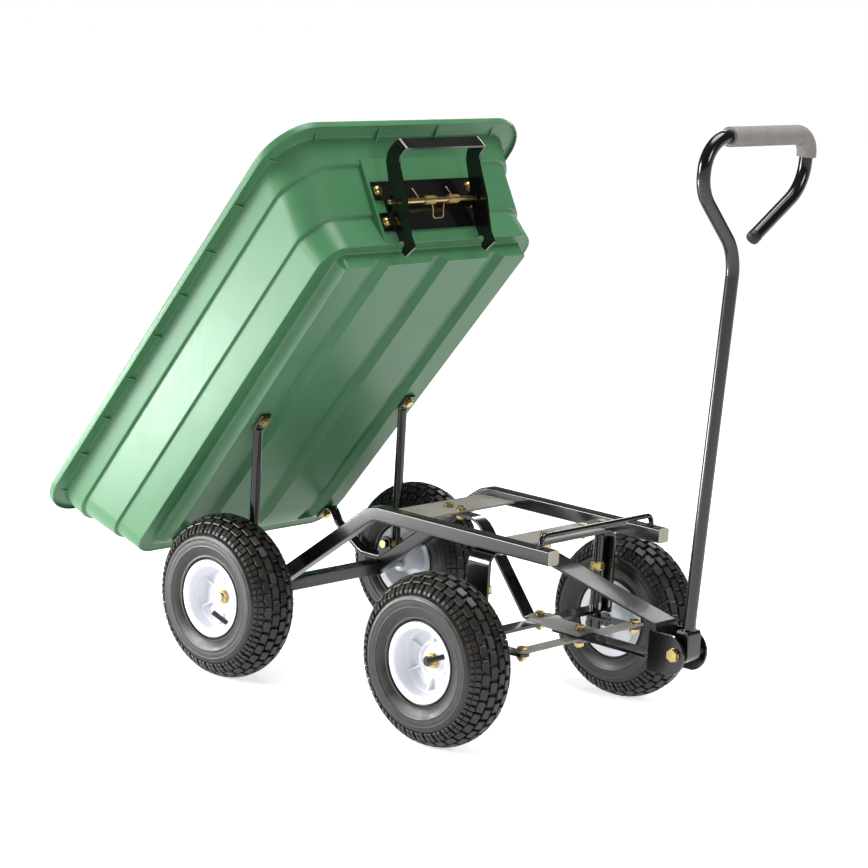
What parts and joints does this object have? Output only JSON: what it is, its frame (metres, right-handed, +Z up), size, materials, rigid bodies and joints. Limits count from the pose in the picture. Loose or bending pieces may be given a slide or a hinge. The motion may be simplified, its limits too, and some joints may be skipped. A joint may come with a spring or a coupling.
{
  "type": "garden hand cart",
  "caption": "Four-wheeled garden hand cart with a tipping plastic tub, sprung tub latch, pivoted front steering and a tall folding pull handle.",
  "frame": {"origin": "on the floor, at the middle of the cart's outline", "axes": "+X forward from the tub to the pull handle, +Y to the cart's left, +Z up from the floor"},
  "size_m": [1.1934, 0.5712, 0.9366],
  "materials": {
    "black_paint": "semi-gloss black powder coat",
    "grey_paint": "dark grey satin coat on flat steel strap",
    "bright_steel": "plain drawn steel",
    "yellow_zinc": "yellow zinc plate on steel",
    "green_plastic": "semi-gloss moulded green plastic with fine grain",
    "white_plastic": "moulded white plastic",
    "grey_plastic": "pale grey end cap",
    "grip_foam": "matt foam rubber",
    "tyre_rubber": "matt knobby tyre rubber",
    "tube_rubber": "smooth butyl rubber"
  },
  "bodies": {
    "root": {"frame_rail_right": "black_paint", "frame_rail_left": "black_paint", "rail_cap_right": "grey_plastic", "rail_cap_left": "grey_plastic", "rear_axle_beam": "black_paint", "rear_axle_rod": "bright_steel", "middle_cross_plate": "grey_paint", "front_cross_plate": "grey_paint", "front_arch": "black_paint", "lower_axle_bar": "black_paint", "centre_brace": "black_paint", "striker_rod": "black_paint", "brace_bolt": "yellow_zinc", "kingpin_right": "black_paint", "kingpin_left": "black_paint", "tub_pivot_bolt_right": "yellow_zinc", "tub_pivot_bolt_left": "yellow_zinc", "drawbar_top_bolt": "yellow_zinc", "drawbar_foot_bolt": "yellow_zinc", "rear_right_axle_nut": "yellow_zinc", "rear_left_axle_nut": "yellow_zinc"},
    "tub": {"tub": "green_plastic", "tub_support_right": "black_paint", "tub_support_left": "black_paint", "support_bolt_front_right": "yellow_zinc", "support_bolt_rear_right": "yellow_zinc", "support_bolt_front_left": "yellow_zinc", "support_bolt_rear_left": "yellow_zinc", "latch_plate": "black_paint", "latch_rod": "yellow_zinc", "latch_spring": "yellow_zinc"},
    "latch": {"latch_bail": "black_paint"},
    "rear_wheel_right": {"rear_right_tyre": "tyre_rubber", "rear_right_inner_tube": "tube_rubber", "rear_right_rim": "white_plastic"},
    "rear_wheel_left": {"rear_left_tyre": "tyre_rubber", "rear_left_inner_tube": "tube_rubber", "rear_left_rim": "white_plastic"},
    "knuckle_right": {"knuckle_right": "black_paint", "tie_rod_bolt_right": "yellow_zinc", "front_right_axle_nut": "yellow_zinc"},
    "knuckle_left": {"knuckle_left": "black_paint", "tie_rod_bolt_left": "yellow_zinc", "front_left_axle_nut": "yellow_zinc"},
    "front_wheel_right": {"front_right_tyre": "tyre_rubber", "front_right_inner_tube": "tube_rubber", "front_right_rim": "white_plastic"},
    "front_wheel_left": {"front_left_tyre": "tyre_rubber", "front_left_inner_tube": "tube_rubber", "front_left_rim": "white_plastic"},
    "drawbar": {"drawbar_strap": "grey_paint", "steering_plate": "grey_paint", "drawbar_arm": "black_paint", "drawbar_head": "black_paint", "steering_bolt": "yellow_zinc", "handle_pivot_bolt": "yellow_zinc"},
    "tie_right": {"tie_rod_right": "grey_paint"},
    "tie_left": {"tie_rod_left": "grey_paint"},
    "handle": {"handle_tube": "black_paint", "handle_grip": "grip_foam"}
  },
  "joints": [
    {"name": "tub_tip", "type": "hinge", "parent": "root", "child": "tub", "pos_m": [-0.1991, 0, 0.165], "axis": [0, 1, 0], "range_deg": [0, 52.2]},
    {"name": "latch_turn", "type": "hinge", "parent": "tub", "child": "latch", "pos_m": [0.00043, 0, 0.76894], "axis": [0, -1, 0], "range_deg": [0, 24], "stiffness_Nm_per_rad": 0.4, "springref_deg": -17.19},
    {"name": "rear_wheel_spin_right", "type": "hinge", "parent": "root", "child": "rear_wheel_right", "pos_m": [-0.1961, -0.22, 0.13], "axis": [0, 1, 0], "continuous": true},
    {"name": "rear_wheel_spin_left", "type": "hinge", "parent": "root", "child": "rear_wheel_left", "pos_m": [-0.1961, 0.22, 0.13], "axis": [0, 1, 0], "continuous": true},
    {"name": "drawbar_steer", "type": "hinge", "parent": "root", "child": "drawbar", "pos_m": [0.2624, 0, 0.1583], "axis": [0, 0, 1], "range_deg": [-28, 28]},
    {"name": "knuckle_steer_right", "type": "hinge", "parent": "root", "child": "knuckle_right", "pos_m": [0.2624, -0.132, 0.13], "axis": [0, 0, 1], "range_deg": [-28, 28]},
    {"name": "knuckle_steer_left", "type": "hinge", "parent": "root", "child": "knuckle_left", "pos_m": [0.2624, 0.132, 0.13], "axis": [0, 0, 1], "range_deg": [-28, 28]},
    {"name": "front_wheel_spin_right", "type": "hinge", "parent": "knuckle_right", "child": "front_wheel_right", "pos_m": [0.2539, -0.22, 0.13], "axis": [0, 1, 0], "continuous": true},
    {"name": "front_wheel_spin_left", "type": "hinge", "parent": "knuckle_left", "child": "front_wheel_left", "pos_m": [0.2539, 0.22, 0.13], "axis": [0, 1, 0], "continuous": true},
    {"name": "tie_rod_turn_right", "type": "hinge", "parent": "drawbar", "child": "tie_right", "pos_m": [0.3424, 0, 0.1475], "axis": [0, 0, 1], "range_deg": [-28, 28]},
    {"name": "tie_rod_turn_left", "type": "hinge", "parent": "drawbar", "child": "tie_left", "pos_m": [0.3424, 0, 0.1432], "axis": [0, 0, 1], "range_deg": [-28, 28]},
    {"name": "handle_fold", "type": "hinge", "parent": "drawbar", "child": "handle", "pos_m": [0.5416, 0, 0.171], "axis": [0, 1, 0], "range_deg": [-8, 95]}
  ],
  "couplings": [
    {"joint": "knuckle_steer_right", "follows": "drawbar_steer", "ratio": 1},
    {"joint": "knuckle_steer_left", "follows": "drawbar_steer", "ratio": 1},
    {"joint": "tie_rod_turn_right", "follows": "drawbar_steer", "ratio": -1},
    {"joint": "tie_rod_turn_left", "follows": "drawbar_steer", "ratio": -1}
  ]
}
